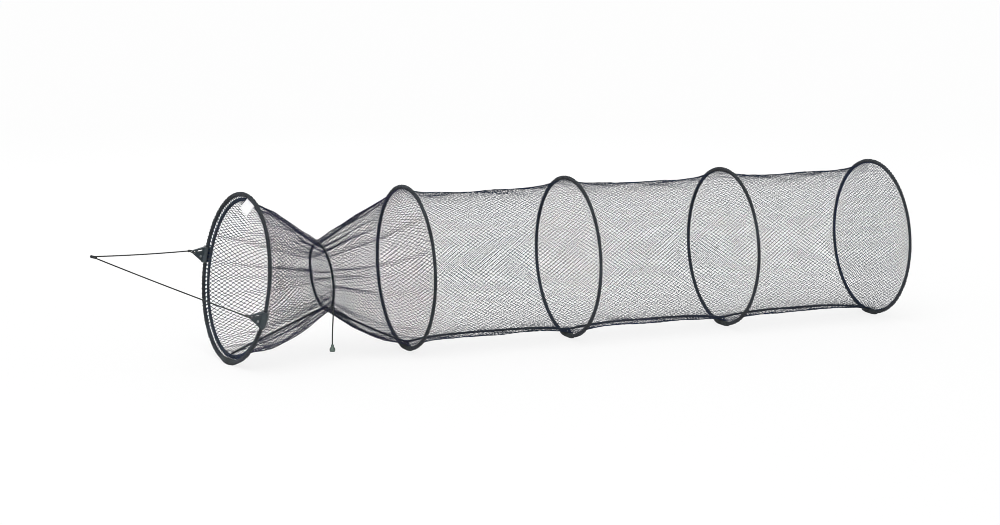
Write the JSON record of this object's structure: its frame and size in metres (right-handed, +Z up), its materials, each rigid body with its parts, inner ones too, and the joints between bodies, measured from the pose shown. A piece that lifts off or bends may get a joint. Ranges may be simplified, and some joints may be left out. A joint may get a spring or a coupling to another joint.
{
  "type": "collapsible fishing keep net",
  "caption": "Round collapsible fishing keep net: bound hoops joined by a mesh tube, a drawn-in neck with a drawcord, a flat net end, and a cord bridle on two clips.",
  "frame": {"origin": "on the floor below the second body hoop, the middle one of the five, at the middle of that hoop's flat foot", "axes": "+X along the tube from the mouth to the closed end, +Z up, +Y across to the side away from the picture's camera"},
  "size_m": [1.8281, 0.3593, 0.3548],
  "materials": {
    "rod": "satin",
    "binding": "matte, twisted cord",
    "sleeve": "matte",
    "net": "matte, knotless twine",
    "clip": "moulded, slightly grained",
    "rivet": "satin",
    "cord": "braided",
    "label": "bare woven cloth",
    "bead": "moulded"
  },
  "bodies": {
    "mouth": {"mouth_rod": "rod", "mouth_binding": "binding", "mouth_sleeve": "sleeve", "hem_cord": "binding", "hem_lacing": "net", "clip_near": "clip", "clip_far": "clip", "clip_rivets": "rivet", "label": "label", "net_mouth": "net", "seam_mouth": "binding"},
    "bridle": {"bridle_loops": "cord", "bridle_cord": "cord", "bridle_knot": "binding"},
    "neck": {"neck_cord": "binding", "neck_knot": "binding", "tail_cord": "cord", "tail_bead": "bead", "net_throat": "net", "seam_throat": "binding"},
    "hoop_1": {"hoop_1_rod": "rod", "hoop_1_binding": "binding", "hoop_1_sleeve": "sleeve", "net_bay_1": "net", "seam_bay_1": "binding"},
    "hoop_2": {"hoop_2_rod": "rod", "hoop_2_binding": "binding", "hoop_2_sleeve": "sleeve", "net_bay_2": "net", "seam_bay_2": "binding"},
    "hoop_3": {"hoop_3_rod": "rod", "hoop_3_binding": "binding", "hoop_3_sleeve": "sleeve", "net_bay_3": "net", "seam_bay_3": "binding"},
    "hoop_4": {"hoop_4_rod": "rod", "hoop_4_binding": "binding", "hoop_4_sleeve": "sleeve", "end_net": "net"}
  },
  "joints": [
    {"name": "bridle_swing", "type": "hinge", "parent": "mouth", "child": "bridle", "pos_m": [-0.77965, 0.00122, 0.16741], "axis": [-0.0455, 0.9676, 0.2485], "range_deg": [-50, 80]},
    {"name": "neck_slide", "type": "slide", "parent": "mouth", "child": "neck", "axis": [-1, 0, 0], "range_m": [0, 0.168], "deforming": ["net_mouth", "seam_mouth"]},
    {"name": "hoop_1_slide", "type": "slide", "parent": "neck", "child": "hoop_1", "axis": [-1, 0, 0], "range_m": [0, 0.168], "deforming": ["net_throat", "seam_throat"]},
    {"name": "hoop_2_slide", "type": "slide", "parent": "hoop_1", "child": "hoop_2", "axis": [-1, 0, 0], "range_m": [0, 0.357], "deforming": ["net_bay_1", "seam_bay_1"]},
    {"name": "hoop_3_slide", "type": "slide", "parent": "hoop_2", "child": "hoop_3", "axis": [-1, 0, 0], "range_m": [0, 0.357], "deforming": ["net_bay_2", "seam_bay_2"]},
    {"name": "hoop_4_slide", "type": "slide", "parent": "hoop_3", "child": "hoop_4", "axis": [-1, 0, 0], "range_m": [0, 0.357], "deforming": ["net_bay_3", "seam_bay_3"]}
  ],
  "couplings": [
    {"joint": "hoop_1_slide", "follows": "neck_slide", "ratio": 1}
  ]
}
